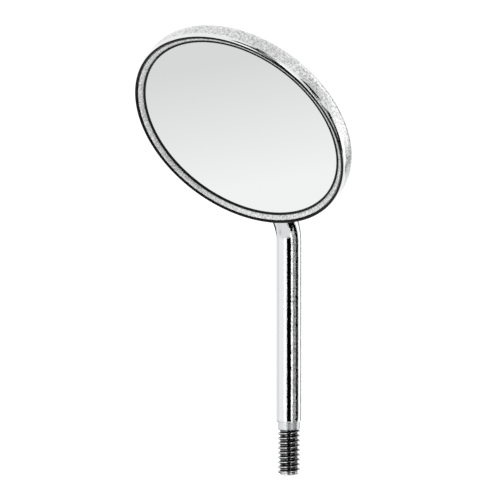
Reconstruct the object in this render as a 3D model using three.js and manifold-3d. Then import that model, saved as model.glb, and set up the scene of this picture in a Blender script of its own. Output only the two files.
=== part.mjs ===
// A screw-in mouth mirror head: a round front-surface mirror held in a pressed steel cup by a
// retaining ring, on a short bent stem whose lower end is a threaded stud that screws into a handle.
//
// Millimetres, +Z up. The origin is on the stem's axis, in the plane of the shoulder that seats
// against the handle. The stud hangs below it, and the mirror leans forward, towards -Y, above it.

import * as THREE from 'three';
import { mergeVertices } from 'three/addons/utils/BufferGeometryUtils.js';
import Module from 'manifold-3d';

// ---- driving dimensions ---------------------------------------------------------------------------

const HEAD_RADIUS = 11.0;              // outside of the steel cup, a 22 mm mirror
const CUP_WALL = 0.28;                 // steel sheet of the cup
const CUP_EDGE_HEIGHT = 0.335;         // the cup's rounded front edge, above the mirror's plane
const CUP_DEPTH = 1.95;                // the cup's flat back, below the mirror's plane
const CORNER_RADIUS = 1.0;             // between the side wall and the cup's back
const INNER_CORNER = 0.5;
const RING_INNER = 10.18;              // the retaining ring, which shows 20 mm of mirror
const RING_OUTER = 10.58;
const RING_INNER_HEIGHT = 0.11;
const RING_OUTER_HEIGHT = 0.27;
const RING_CROWN = 0.03;               // how much its face swells above a straight cone
const RING_FOOT = 0.09;                // its foot reaches further out, below the black line
const GLASS_RADIUS = 10.45;
const GLASS_THICKNESS = 1.3;
const GLASS_BEVEL = 0.12;
const FILM_THICKNESS = 0.05;           // the coating is far thinner; this solid stands in for it
const FILM_TOP = -0.05;
const SEAL_THICKNESS = 0.06;
const SEAL_SHOW = 0.14;                // how far the inner seal shows inside the ring
const CLEARANCE = 0.03;                // between neighbouring solids

const STEM_RADIUS = 1.19;
const LEAN = THREE.MathUtils.degToRad(32);   // between the stem's axis and the plane of the mirror
const BEND_RADIUS = 3.75;
const CORNER_HEIGHT = 17.96;           // where the stem's two straight runs would meet, above the shoulder
const CORNER_OUTSIDE = 2.15;           // that corner's distance outside the head, along the mirror plane
const STEM_DEPTH = 1.505;              // the bent run's axis, below the mirror's plane
const TONGUE_REACH = 5.9;              // how far the tongue runs in from the head's edge
const NOSE_LENGTH = 2.25;              // the tongue's rounded end
const NOSE_SWELL = 0.05;               // the rounding blank is a little fatter than the rod
const BEAD_WIDTH = 0.45;               // of the weld, each side of the tongue
const BEAD_HEIGHT = 0.3;

const NECK_RADIUS = 1.035;
const NECK_LENGTH = 0.69;
const STUD_LENGTH = 5.02;
const THREAD_RADIUS = 1.075;
const CORE_RADIUS = 0.81;
const PITCH = 0.45;
const CREST_WIDTH = PITCH / 8;
const RIDGE_ROOT = 0.04;               // how far the thread's ridge is sunk into the core
const TIP_CHAMFER = 0.4;
const TIP_RADIUS = 0.77;
const INTO_ROD = 0.6;                  // how far the stud's solids run up into the rod

const HEAD_SEGMENTS = 64;
const ROD_SIDES = 20;
const ROD_STEPS = 60;
const THREAD_STEPS_PER_TURN = 16;

// ---- helpers --------------------------------------------------------------------------------------

const wasm = await Module();
wasm.setup();

/** A closed three.js geometry as a solid that can be joined and cut. */
function solidOf(geometry) {
  const bare = geometry.clone();
  bare.deleteAttribute('normal');
  bare.deleteAttribute('uv');
  const merged = mergeVertices(bare, 1e-5);
  const vertProperties = new Float32Array(merged.attributes.position.array);
  const triVerts = new Uint32Array(merged.index.array);
  return new wasm.Manifold(new wasm.Mesh({ numProp: 3, vertProperties, triVerts }));
}

/** A joined or cut solid as a three.js geometry again. */
function geometryOf(solid) {
  const { vertProperties, triVerts } = solid.getMesh();
  const geometry = new THREE.BufferGeometry();
  geometry.setAttribute('position', new THREE.BufferAttribute(new Float32Array(vertProperties), 3));
  geometry.setIndex(new THREE.BufferAttribute(new Uint32Array(triVerts), 1));
  geometry.computeVertexNormals();
  return geometry;
}

/** Points on an arc about (radius, height), from one angle to another in degrees. */
function arc(centreRadius, centreHeight, radius, fromDegrees, toDegrees, steps) {
  return Array.from({ length: steps + 1 }, (_, i) => {
    const angle = THREE.MathUtils.degToRad(fromDegrees + ((toDegrees - fromDegrees) * i) / steps);
    return [centreRadius + radius * Math.cos(angle), centreHeight + radius * Math.sin(angle)];
  });
}

/** A turned shape about Y, from its [radius, height] points. */
function turned(points, segments = HEAD_SEGMENTS) {
  return new THREE.LatheGeometry(points.map(([r, h]) => new THREE.Vector2(r, h)), segments);
}

/** A turned shape about Z. */
function turnedUpright(points, segments) {
  return turned(points, segments).rotateX(Math.PI / 2);
}

/** A closed ring's points, with the first one repeated at the end. */
function ring(points) {
  return [...points, points[0]];
}

function finish(colour, roughness, metalness) {
  return new THREE.MeshStandardMaterial({ color: colour, roughness, metalness });
}

function piece(name, geometry, material, parent) {
  const mesh = new THREE.Mesh(geometry, material);
  mesh.name = name;
  parent.add(mesh);
  return mesh;
}

const polishedSteel = finish(0xd8dadc, 0.12, 1);
const satinSteel = finish(0xcfd1d2, 0.4, 1);
const brightFilm = finish(0xe6e8e9, 0.03, 1);
const glass = finish(0xc9d8d4, 0.05, 0);
const cement = finish(0x8d8f8c, 0.7, 0);
const blackSeal = finish(0x1b1c1d, 0.5, 0);
const weldMetal = finish(0xb4b6b8, 0.35, 1);

// ---- the head's own frame -------------------------------------------------------------------------
// In the head, +Y is the mirror's normal, +Z points along the mirror plane towards the stem, and the
// origin is the centre of the mirror's face, where the inner seal frames it.

const towardsStem = new THREE.Vector3(0, Math.sin(LEAN), -Math.cos(LEAN));
const mirrorNormal = new THREE.Vector3(0, -Math.cos(LEAN), -Math.sin(LEAN));
const bendCorner = new THREE.Vector3(0, 0, CORNER_HEIGHT);
const headCentre = bendCorner.clone()
  .addScaledVector(towardsStem, -(HEAD_RADIUS + CORNER_OUTSIDE))
  .addScaledVector(mirrorNormal, STEM_DEPTH);

const head = new THREE.Group();
head.position.copy(headCentre);
head.rotation.x = Math.PI + LEAN;
head.updateMatrix();

// ---- heights and radii in the head ----------------------------------------------------------------

const filmBottom = FILM_TOP - FILM_THICKNESS;
const glassTop = filmBottom - CLEARANCE;
const glassBottom = glassTop - GLASS_THICKNESS;
const sealBottom = FILM_TOP + CLEARANCE;
const sealTop = sealBottom + SEAL_THICKNESS;
const ringBottom = sealTop + CLEARANCE;
const backHeight = -CUP_DEPTH;
const floorHeight = backHeight + CUP_WALL;
const cornerStart = HEAD_RADIUS - CORNER_RADIUS;
const cornerHeight = backHeight + CORNER_RADIUS;
const wallInner = HEAD_RADIUS - CUP_WALL;
const edgeRadius = CUP_WALL / 2;

// ---- retaining ring: a turned ring that holds the mirror in the cup --------------------------------

function retainingRing() {
  const grooveHeight = ringBottom + SEAL_THICKNESS;
  return turned(ring([
    [RING_INNER, ringBottom],
    [RING_OUTER + RING_FOOT, ringBottom],
    [RING_OUTER + RING_FOOT, grooveHeight],
    [RING_OUTER, grooveHeight],
    [RING_OUTER, RING_OUTER_HEIGHT],
    [(RING_INNER + RING_OUTER) / 2, (RING_INNER_HEIGHT + RING_OUTER_HEIGHT) / 2 + RING_CROWN],
    [RING_INNER, RING_INNER_HEIGHT],
  ]));
}

// ---- back cup: a flat pan with a rounded corner and a rounded front edge ---------------------------

function backCup() {
  const edge = arc(HEAD_RADIUS - edgeRadius, CUP_EDGE_HEIGHT - edgeRadius, edgeRadius, 0, 180, 6);
  return turned([
    [0, backHeight],
    ...arc(cornerStart, cornerHeight, CORNER_RADIUS, -90, 0, 7),
    ...edge,
    ...arc(wallInner - INNER_CORNER, floorHeight + INNER_CORNER, INNER_CORNER, 0, -90, 4),
    [0, floorHeight],
  ]);
}

// ---- mirror: glass with a bright film on its front ------------------------------------------------

function mirrorGlass() {
  return turned([
    [0, glassBottom],
    [GLASS_RADIUS - GLASS_BEVEL, glassBottom],
    [GLASS_RADIUS, glassBottom + GLASS_BEVEL],
    [GLASS_RADIUS, glassTop],
    [0, glassTop],
  ]);
}

function mirrorFilm() {
  const radius = GLASS_RADIUS - CLEARANCE;
  return turned([[0, filmBottom], [radius, filmBottom], [radius, FILM_TOP], [0, FILM_TOP]]);
}

// ---- inner seal: a thin ring between the retaining ring and the mirror, with a bead that shows -----

function innerSeal() {
  const beadOuter = RING_INNER - CLEARANCE;
  const beadInner = RING_INNER - SEAL_SHOW;
  const beadTop = RING_INNER_HEIGHT - CLEARANCE;
  return turned(ring([
    [beadInner, sealBottom],
    [GLASS_RADIUS - CLEARANCE, sealBottom],
    [GLASS_RADIUS - CLEARANCE, sealTop],
    [beadOuter, sealTop],
    [beadOuter, beadTop],
  ]));
}

// ---- outer seal: the black line in the groove between the retaining ring and the cup ---------------

function outerSeal() {
  const inner = RING_OUTER + CLEARANCE;
  const outer = wallInner - CLEARANCE;
  const bottom = ringBottom + SEAL_THICKNESS + CLEARANCE;
  const top = RING_OUTER_HEIGHT - CLEARANCE;
  return turned(ring([[inner, bottom], [outer, bottom], [outer, top], [inner, top]]));
}

// ---- bonding cement: the bed under the glass and the wall round its edge --------------------------

function bondingCement() {
  const cementBottom = floorHeight + CLEARANCE;
  const cementTop = glassBottom - CLEARANCE;
  const outer = wallInner - CLEARANCE;
  const wall = GLASS_RADIUS + CLEARANCE;
  const wallTop = glassTop - SEAL_THICKNESS;
  return turned([
    [0, cementBottom],
    ...arc(outer - INNER_CORNER, cementBottom + INNER_CORNER, INNER_CORNER, -90, 0, 4),
    [outer, wallTop],
    [wall, wallTop],
    [wall, cementTop],
    [0, cementTop],
  ]);
}

piece('retaining_ring', retainingRing(), satinSteel, head);
piece('back_cup', backCup(), polishedSteel, head);
piece('mirror_glass', mirrorGlass(), glass, head);
piece('mirror_film', mirrorFilm(), brightFilm, head);
piece('inner_seal', innerSeal(), blackSeal, head);
piece('outer_seal', outerSeal(), blackSeal, head);
piece('bonding_cement', bondingCement(), cement, head);

// ---- stem: straight rod, bend, and a tongue ground to lie under the cup ---------------------------

/** The rod's centre line: up the stem, round the bend, then along the back of the head. */
class StemLine extends THREE.Curve {
  constructor(reach) {
    super();
    this.tangentLength = BEND_RADIUS * Math.tan(LEAN / 2);
    this.straight = CORNER_HEIGHT - this.tangentLength;
    this.bend = BEND_RADIUS * LEAN;
    this.total = this.straight + this.bend + CORNER_OUTSIDE + reach - this.tangentLength;
  }

  getPoint(t, target = new THREE.Vector3()) {
    const along = t * this.total;
    if (along <= this.straight) {
      return target.set(0, 0, along);
    }
    const turn = Math.min((along - this.straight) / BEND_RADIUS, LEAN);
    target.set(0, -BEND_RADIUS * (1 - Math.cos(turn)), this.straight + BEND_RADIUS * Math.sin(turn));
    const rest = along - this.straight - this.bend;
    return rest > 0 ? target.addScaledVector(towardsStem, -rest) : target;
  }
}

const ABOVE_HEAD = 3;                  // the notching shape reaches this far in front of the mirror
const KEEP_SIZE = 40;                  // a block that holds the whole rod outside its rounded end

/** The head's outline, grown by a clearance, as the shape that notches the rod. */
function headOutline(growth) {
  return turned([
    [0, backHeight - growth],
    [cornerStart, backHeight - growth],
    ...arc(cornerStart, cornerHeight, CORNER_RADIUS + growth, -90, 0, 7).slice(1),
    [HEAD_RADIUS + growth, ABOVE_HEAD],
    [0, ABOVE_HEAD],
  ]).applyMatrix4(head.matrix);
}

/** The bent rod with its rounded nose, before the head notches it, grown by a clearance. */
function bentRod(growth) {
  const radius = STEM_RADIUS + growth;
  const section = new THREE.Shape().absarc(0, 0, radius, 0, 2 * Math.PI, false);
  const rod = solidOf(new THREE.ExtrudeGeometry(section, {
    steps: ROD_STEPS,
    curveSegments: ROD_SIDES / 2,
    extrudePath: new StemLine(TONGUE_REACH + 1),
  }));
  const noseStart = HEAD_RADIUS - TONGUE_REACH + NOSE_LENGTH;
  const nose = new THREE.SphereGeometry(1, 24, 16)
    .scale(radius + NOSE_SWELL, radius + NOSE_SWELL, NOSE_LENGTH + growth)
    .translate(0, -STEM_DEPTH, noseStart)
    .applyMatrix4(head.matrix);
  const keep = new THREE.BoxGeometry(KEEP_SIZE, KEEP_SIZE, KEEP_SIZE)
    .translate(0, 0, noseStart + KEEP_SIZE / 2)
    .applyMatrix4(head.matrix);
  return rod.intersect(solidOf(nose).add(solidOf(keep)));
}

/** The thread's centre line, with the frames that keep its section square to the axis. */
class ThreadLine extends THREE.Curve {
  constructor(bottom, turns) {
    super();
    this.bottom = bottom;
    this.turns = turns;
  }

  getPoint(t, target = new THREE.Vector3()) {
    const angle = 2 * Math.PI * this.turns * t;
    const height = this.bottom + PITCH * this.turns * t;
    return target.set(CORE_RADIUS * Math.cos(angle), CORE_RADIUS * Math.sin(angle), height);
  }

  computeFrenetFrames(segments) {
    const frames = { tangents: [], normals: [], binormals: [] };
    for (let i = 0; i <= segments; i++) {
      const angle = (2 * Math.PI * this.turns * i) / segments;
      const outward = new THREE.Vector3(Math.cos(angle), Math.sin(angle), 0);
      const rise = PITCH / (2 * Math.PI);
      const forward = new THREE.Vector3(
        -CORE_RADIUS * Math.sin(angle), CORE_RADIUS * Math.cos(angle), rise).normalize();
      frames.tangents.push(forward);
      frames.normals.push(outward);
      frames.binormals.push(forward.clone().cross(outward));
    }
    return frames;
  }
}

function threadRidge() {
  const depth = THREAD_RADIUS - CORE_RADIUS;
  const halfCrest = CREST_WIDTH / 2;
  const halfRoot = halfCrest + (depth + RIDGE_ROOT) * Math.tan(Math.PI / 6);
  const section = new THREE.Shape([
    new THREE.Vector2(-RIDGE_ROOT, -halfRoot),
    new THREE.Vector2(depth, -halfCrest),
    new THREE.Vector2(depth, halfCrest),
    new THREE.Vector2(-RIDGE_ROOT, halfRoot),
  ]);
  const bottom = -STUD_LENGTH - PITCH / 2;
  const turns = (-NECK_LENGTH - bottom) / PITCH;
  return new THREE.ExtrudeGeometry(section, {
    steps: Math.round(turns * THREAD_STEPS_PER_TURN),
    extrudePath: new ThreadLine(bottom, turns),
  });
}

function stud() {
  const core = turnedUpright(
    [[0, -STUD_LENGTH], [CORE_RADIUS, -STUD_LENGTH], [CORE_RADIUS, INTO_ROD], [0, INTO_ROD]],
    ROD_SIDES);
  const overThread = THREAD_RADIUS + 0.1;
  const tip = turnedUpright([
    [0, -STUD_LENGTH],
    [TIP_RADIUS, -STUD_LENGTH],
    [overThread, -STUD_LENGTH + TIP_CHAMFER],
    [overThread, INTO_ROD],
    [0, INTO_ROD],
  ], ROD_SIDES);
  const neck = turnedUpright(
    [[0, -NECK_LENGTH], [NECK_RADIUS, -NECK_LENGTH], [NECK_RADIUS, INTO_ROD], [0, INTO_ROD]],
    ROD_SIDES);
  return solidOf(core).add(solidOf(threadRidge())).intersect(solidOf(tip)).add(solidOf(neck));
}

const stem = bentRod(0).subtract(solidOf(headOutline(CLEARANCE))).add(stud());

// ---- weld bead: the fillet between the tongue and the back of the cup -----------------------------

function weldBead() {
  const halfWidth = STEM_RADIUS + BEAD_WIDTH;
  const from = HEAD_RADIUS - TONGUE_REACH + STEM_RADIUS;
  const to = cornerStart;
  const outline = new THREE.Shape();
  outline.moveTo(to, -halfWidth);
  outline.lineTo(to, halfWidth);
  outline.lineTo(from, halfWidth);
  outline.absarc(from, 0, halfWidth, Math.PI / 2, (3 * Math.PI) / 2, false);
  const bevel = BEAD_HEIGHT / 2;
  const blank = new THREE.ExtrudeGeometry(outline, {
    depth: bevel,
    bevelThickness: bevel,
    bevelSize: BEAD_WIDTH / 2,
    bevelOffset: -BEAD_WIDTH / 2,
    bevelSegments: 2,
    curveSegments: 8,
  });
  // the outline's X runs along the head's +Z, and its depth goes down from the back of the cup
  const place = new THREE.Matrix4().makeBasis(
    new THREE.Vector3(0, 0, 1), new THREE.Vector3(-1, 0, 0), new THREE.Vector3(0, -1, 0));
  blank.applyMatrix4(place);
  blank.translate(0, backHeight, 0);
  blank.applyMatrix4(head.matrix);
  return solidOf(blank)
    .subtract(solidOf(headOutline(CLEARANCE)))
    .subtract(bentRod(CLEARANCE));
}

const part = new THREE.Group();
part.add(head);
piece('stem', geometryOf(stem), polishedSteel, part);
piece('weld_bead', geometryOf(weldBead()), weldMetal, part);

export default part;
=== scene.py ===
# %% [markdown]
# # A screw-in mouth mirror head
#
# A dentist's mouth mirror: a round glass mirror held in a steel cup by a ring, on a short bent stem
# that ends in a fine thread. The thread screws into a handle, so the head can be changed.
#
# The CAD model says where everything is. This script gives each visible piece its fine surface:
# sheet steel with a rounded edge, a rod that is ground flat where it lies on the cup, a cut thread,
# and the soldered joint between rod and cup. Everything is in metres, in the CAD model's frame.

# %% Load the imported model
import math

import bmesh
import bpy
from mathutils import Matrix, Vector


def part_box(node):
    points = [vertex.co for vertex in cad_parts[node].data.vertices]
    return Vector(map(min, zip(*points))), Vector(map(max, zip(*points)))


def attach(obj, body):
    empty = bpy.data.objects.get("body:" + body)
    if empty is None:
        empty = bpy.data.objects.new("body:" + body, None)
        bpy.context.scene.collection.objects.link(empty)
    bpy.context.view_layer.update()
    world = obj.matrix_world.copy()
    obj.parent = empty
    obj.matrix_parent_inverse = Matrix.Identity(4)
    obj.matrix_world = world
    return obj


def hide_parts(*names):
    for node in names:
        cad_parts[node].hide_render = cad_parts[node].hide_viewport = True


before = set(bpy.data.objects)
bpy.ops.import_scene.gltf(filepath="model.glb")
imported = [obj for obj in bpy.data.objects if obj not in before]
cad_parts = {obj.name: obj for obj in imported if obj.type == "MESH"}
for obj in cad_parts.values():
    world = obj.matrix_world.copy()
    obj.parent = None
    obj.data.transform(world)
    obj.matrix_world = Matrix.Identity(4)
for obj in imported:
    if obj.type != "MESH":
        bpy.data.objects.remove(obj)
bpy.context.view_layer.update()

print("nodes:", sorted(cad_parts))

# %% [markdown]
# ## Driving sizes
#
# The head is a stack of thin round pieces that all share one axis, so it is easiest to describe in a
# frame of its own: X across, Y along the mirror's normal, Z in the mirror's plane towards the stem.
# Its origin is the middle of the mirror's face. Heights behind that face are negative.

# %% Sizes, and the head's own frame
MM = 0.001
LEAN = math.radians(32)              # between the stem and the plane of the mirror
BEND_RADIUS = 3.75 * MM
CORNER_HEIGHT = 17.96 * MM           # where the stem's two straight runs would meet
CORNER_OUTSIDE = 2.15 * MM           # that corner's distance outside the head
STEM_DEPTH = 1.505 * MM              # the bent run's axis, below the mirror's plane
CLEARANCE = 0.03 * MM                # between neighbouring pieces

head_radius = (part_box("back_cup")[1].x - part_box("back_cup")[0].x) / 2
stem_radius = 1.19 * MM
towards_stem = Vector((0, math.sin(LEAN), -math.cos(LEAN)))
mirror_normal = Vector((0, -math.cos(LEAN), -math.sin(LEAN)))
head_centre = (Vector((0, 0, CORNER_HEIGHT)) - towards_stem * (head_radius + CORNER_OUTSIDE)
               + mirror_normal * STEM_DEPTH)
head_place = Matrix.Translation(head_centre) @ Matrix.Rotation(math.pi + LEAN, 4, "X")
print("head radius (mm):", round(head_radius / MM, 3), "centre (mm):", head_centre / MM)

# %% [markdown]
# ## The camera
#
# A small instrument is best shown from far away with a long lens, so that its round head stays a
# clean ellipse. The camera looks slightly down, from the mirror's right, and stands two metres away.
# The stem's shoulder is the frame's origin, and the aim is counted from there.

# %% Camera
CAMERA_AZIMUTH = 33
CAMERA_ELEVATION = 6.9
LENS = 1600                          # mm, on a 36 mm sensor
VIEW_WIDTH = 46.58 * MM              # what the view takes in, at the object
AIM_ACROSS = -3.62 * MM              # from the shoulder to the middle of the view
AIM_UPWARD = 15.96 * MM
CLOSEST, FURTHEST = 0.01, 50         # metres that the camera can see


def direction(azimuth, elevation):
    """The unit vector towards an azimuth and elevation in degrees; azimuth 0 is -Y, 90 is +X."""
    a, e = math.radians(azimuth), math.radians(elevation)
    return Vector((math.sin(a) * math.cos(e), -math.cos(a) * math.cos(e), math.sin(e)))


camera_data = bpy.data.cameras.new("camera")
camera_data.lens = LENS
camera = bpy.data.objects.new("camera", camera_data)
bpy.context.scene.collection.objects.link(camera)
bpy.context.scene.camera = camera

back = direction(CAMERA_AZIMUTH, CAMERA_ELEVATION)
across = Vector((0, 0, 1)).cross(back).normalized()
upward = back.cross(across)
aim = across * AIM_ACROSS + upward * AIM_UPWARD
distance = VIEW_WIDTH * LENS / camera_data.sensor_width
camera.location = aim + back * distance
camera.rotation_euler = back.to_track_quat("Z", "Y").to_euler()
camera_data.clip_start = CLOSEST
camera_data.clip_end = FURTHEST
print("camera distance (mm):", round(distance / MM), "aim (mm):", aim / MM)

# %% [markdown]
# ## A small tool for nodes
#
# Shader trees and Geometry Nodes trees are built the same way: add a node, set its options, and give
# its inputs a value or the output that feeds them. One function does that for both. Where an input
# is given a whole node, it takes that node's first output.

# %% Node and colour helpers


def add(tree, kind, inputs=None, **settings):
    """Adds one node. An input is a value, an output socket to link, or a node."""
    node = tree.nodes.new(kind)
    for name, value in settings.items():
        setattr(node, name, value)
    for key, value in (inputs or {}).items():
        if isinstance(value, bpy.types.Node):
            value = value.outputs[0]
        if isinstance(value, bpy.types.NodeSocket):
            tree.links.new(value, node.inputs[key])
        else:
            node.inputs[key].default_value = value
    return node


def srgb(code):
    """A hex colour such as #C4C6C7 as linear RGBA."""
    channels = [int(code[i:i + 2], 16) / 255 for i in (1, 3, 5)]
    linear = [c / 12.92 if c <= 0.04045 else ((c + 0.055) / 1.055) ** 2.4 for c in channels]
    return (*linear, 1.0)


def material(name):
    """An empty material with its output node, as (material, tree, output)."""
    made = bpy.data.materials.new(name)
    made.use_nodes = True
    made.node_tree.nodes.clear()
    return made, made.node_tree, add(made.node_tree, "ShaderNodeOutputMaterial")


print("white in linear light:", srgb("#FFFFFF"))

# %% [markdown]
# ## The studio: a white tent
#
# Polished steel has hardly any colour of its own; it shows what stands round it. A product studio
# puts it in a white tent, so that it turns pale, and then hangs black and bright cards in the tent,
# so that it gets the crisp dark and white lines that make it read as metal.
#
# The floor is a plain pale disc, bright enough to merge with the tent. The cards are curved patches
# of a large sphere round the object. They are seen only in reflections.

# %% The tent and the floor
TENT_LIGHT = 1.22
FLOOR_DROP = 60 * MM                 # from the shoulder down to the floor
FLOOR_RADIUS = 6.0                   # metres

world = bpy.data.worlds.new("tent")
bpy.context.scene.world = world
world.use_nodes = True
world.node_tree.nodes["Background"].inputs["Color"].default_value = srgb("#FFFFFF")
world.node_tree.nodes["Background"].inputs["Strength"].default_value = TENT_LIGHT
bpy.context.scene.view_settings.view_transform = "Standard"

floor_mesh = bpy.data.meshes.new("floor")
disc = bmesh.new()
bmesh.ops.create_circle(disc, cap_ends=True, radius=FLOOR_RADIUS, segments=96,
                        matrix=Matrix.Translation((0, 0, -FLOOR_DROP)))
disc.to_mesh(floor_mesh)
disc.free()
floor = bpy.data.objects.new("floor", floor_mesh)
bpy.context.scene.collection.objects.link(floor)
floor_paint, tree, output = material("matt_white_floor")
paint = add(tree, "ShaderNodeBsdfDiffuse", {"Color": srgb("#F6F6F5"), "Roughness": 0.0})
tree.links.new(paint.outputs[0], output.inputs["Surface"])
floor_mesh.materials.append(floor_paint)
floor.visible_glossy = False
print("floor height (mm):", -FLOOR_DROP / MM)

# %% [markdown]
# One broad area light above gives the matt surfaces a little shape. It is kept out of the
# reflections, which belong to the cards.

# %% The top light
TOP_LIGHT_HEIGHT = 0.6               # metres
TOP_LIGHT_SIZE = 0.6                 # metres
TOP_LIGHT_POWER = 1.5                # watts

top_light_data = bpy.data.lights.new("top_light", "AREA")
top_light_data.size = TOP_LIGHT_SIZE
top_light_data.energy = TOP_LIGHT_POWER
top_light = bpy.data.objects.new("top_light", top_light_data)
bpy.context.scene.collection.objects.link(top_light)
top_light.location = (0, 0, TOP_LIGHT_HEIGHT)
top_light.visible_glossy = False
print("top light:", TOP_LIGHT_POWER, "W at", TOP_LIGHT_HEIGHT, "m")

# %% [markdown]
# A card is named for where it hangs. Its azimuths are counted from the camera, to the right, and its
# elevations from the horizon. A glow of 0 is black card; 1 is as bright as white card, and a lit
# softbox is well above 1. A rod shows the whole tent squeezed into its width, so each card becomes
# a line on it: a broad black card is a crisp line, and the four narrow slats are a broken grey one.

# %% Cards
CARD_REACH = 1.0                     # metres, far enough that every piece sees a card the same way
CARD_STEP = 4                        # degrees between a card's vertices


def reflected_only(obj):
    """Keeps a studio card out of everything but reflections."""
    obj.visible_camera = False
    obj.visible_diffuse = False
    obj.visible_shadow = False
    obj.visible_transmission = False


def glowing(name, glow):
    """A material that only gives out white light."""
    made, tree, output = material(name)
    light = add(tree, "ShaderNodeEmission", {"Color": srgb("#FFFFFF"), "Strength": glow})
    tree.links.new(light.outputs[0], output.inputs["Surface"])
    return made


def card(name, azimuths, elevations, glow):
    """A curved card that fills a window of azimuths and elevations, as seen from the object."""
    columns = max(2, round((azimuths[1] - azimuths[0]) / CARD_STEP) + 1)
    rows = max(2, round((elevations[1] - elevations[0]) / CARD_STEP) + 1)
    corners = []
    for j in range(rows):
        elevation = elevations[0] + (elevations[1] - elevations[0]) * j / (rows - 1)
        for i in range(columns):
            azimuth = CAMERA_AZIMUTH + azimuths[0] + (azimuths[1] - azimuths[0]) * i / (columns - 1)
            corners.append(aim + direction(azimuth, elevation) * CARD_REACH)
    faces = [(j * columns + i, j * columns + i + 1, (j + 1) * columns + i + 1, (j + 1) * columns + i)
             for j in range(rows - 1) for i in range(columns - 1)]
    mesh = bpy.data.meshes.new(name)
    mesh.from_pydata(corners, [], faces)
    mesh.materials.append(glowing(name, glow))
    obj = bpy.data.objects.new(name, mesh)
    bpy.context.scene.collection.objects.link(obj)
    reflected_only(obj)


CARDS = [
    # name, azimuths, elevations, glow
    ("camera_side_black", (-18, 21), (-25, 50), 0.0),
    ("left_pale", (-100, -44), (-22, 30), 1.45),
    ("left_softbox", (-44, -24), (-22, 30), 2.4),
    ("right_softbox", (22, 33), (-30, 45), 2.4),
    ("right_black", (67, 92), (-45, 8), 0.0),
    ("far_right_softbox", (103, 121), (-30, 40), 2.4),
    ("low_back_left_black", (-180, -138), (-45, -13), 0.0),
    ("right_low_black", (38, 72), (-60, -28), 0.0),
    ("thread_high_black", (-50, 50), (56, 78), 0.0),
    ("upper_right_black", (58, 84), (16, 36), 0.0),
    ("right_rim_black", (130, 142), (-24, 20), 0.0),
]
SLATS = 4                            # narrow black cards on the right, with white tent between them
SLAT_START, SLAT_PITCH, SLAT_WIDTH = 35, 8.5, 5  # degrees of azimuth
SLAT_HEIGHTS = (-24, 20)
for slat in range(SLATS):
    start = SLAT_START + slat * SLAT_PITCH
    CARDS.append((f"right_slat_{slat}", (start, start + SLAT_WIDTH), SLAT_HEIGHTS, 0.0))
for card_name, card_azimuths, card_elevations, card_glow in CARDS:
    card(card_name, card_azimuths, card_elevations, card_glow)
print("cards:", [row[0] for row in CARDS])

# %% [markdown]
# The mirror is flat, so from far away the whole of it looks at one small part of the tent, and it
# would come out as one flat grey. A pale card close to it, lying parallel to the glass, is bright on
# one side and dimmer on the other, which shades the mirror gently from corner to corner.

# %% The mirror's own card
MIRROR_CARD_AWAY = 90 * MM
MIRROR_CARD_HALF = 32 * MM
MIRROR_CARD_DIM = 0.885
MIRROR_CARD_BRIGHT = 1.14
SHADE_ALONG = (0.25, 0, 0.97)        # the way in which the card brightens
SHADE_FROM, SHADE_TO = -8 * MM, 6 * MM
SOLID_PART = 0.5                     # of the card's half width, before it fades out

seen = -back - 2 * mirror_normal * (-back).dot(mirror_normal)
mirror_card_mesh = bpy.data.meshes.new("mirror_card")
half = MIRROR_CARD_HALF
mirror_card_mesh.from_pydata(
    [(-half, 0, -half), (half, 0, -half), (half, 0, half), (-half, 0, half)], [], [(0, 1, 2, 3)])
mirror_card = bpy.data.objects.new("mirror_card", mirror_card_mesh)
bpy.context.scene.collection.objects.link(mirror_card)
mirror_card.matrix_world = Matrix.Translation(seen * MIRROR_CARD_AWAY) @ head_place

card_paint, tree, output = material("shaded_card")
place = add(tree, "ShaderNodeTexCoord")
slope = add(tree, "ShaderNodeVectorMath", {0: place.outputs["Object"], 1: SHADE_ALONG},
            operation="DOT_PRODUCT")
shade = add(tree, "ShaderNodeMapRange", {
    "Value": slope.outputs["Value"], "From Min": SHADE_FROM, "From Max": SHADE_TO,
    "To Min": MIRROR_CARD_DIM, "To Max": MIRROR_CARD_BRIGHT})
radius = add(tree, "ShaderNodeVectorMath", {0: place.outputs["Object"]}, operation="LENGTH")
fade = add(tree, "ShaderNodeMapRange", {
    "Value": radius.outputs["Value"], "From Min": SOLID_PART * half, "From Max": half},
    interpolation_type="SMOOTHSTEP")
light = add(tree, "ShaderNodeEmission", {"Strength": shade})
clear = add(tree, "ShaderNodeBsdfTransparent")
mixed = add(tree, "ShaderNodeMixShader", {0: fade, 1: light, 2: clear})
tree.links.new(mixed.outputs[0], output.inputs["Surface"])
mirror_card_mesh.materials.append(card_paint)
reflected_only(mirror_card)
print("the mirror looks towards", tuple(round(v, 2) for v in seen))

# %% [markdown]
# ## Finishes
#
# Nearly everything here is stainless steel, but not all of it is finished alike. The rod is ground
# and buffed to a mirror. The cup is spun from sheet: its side wall keeps a speckled satin grain, its
# back is plainer, and its front edge is buffed. The ring is blasted to an even satin.
#
# All of these are pure reflection, so their detail is in the roughness, in a small change of colour,
# and in a very shallow bump: a slope of a degree or two is enough to break up a reflection. Each
# pattern starts as noise, whose values mostly lie between 0.3 and 0.7. A Map Range node stretches
# that span to the wanted range of roughness, or to 0 to 1 for mixing two colours.

# %% What the finishes share
NOISE = {"Detail": 3.0, "Roughness": 0.55}
NOISE_SPAN = {"From Min": 0.3, "From Max": 0.7}


def metal(tree, output, colour, roughness, height, distance):
    """A metal with a bump: a height between 0 and 1, over a distance."""
    bump = add(tree, "ShaderNodeBump",
               {"Height": height, "Distance": distance, "Strength": 1.0})
    shader = add(tree, "ShaderNodeBsdfPrincipled", {
        "Base Color": colour, "Metallic": 1.0, "Roughness": roughness,
        "Normal": bump.outputs["Normal"]})
    tree.links.new(shader.outputs[0], output.inputs["Surface"])


finishes = {}
print("noise:", NOISE, "span:", NOISE_SPAN)

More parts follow.
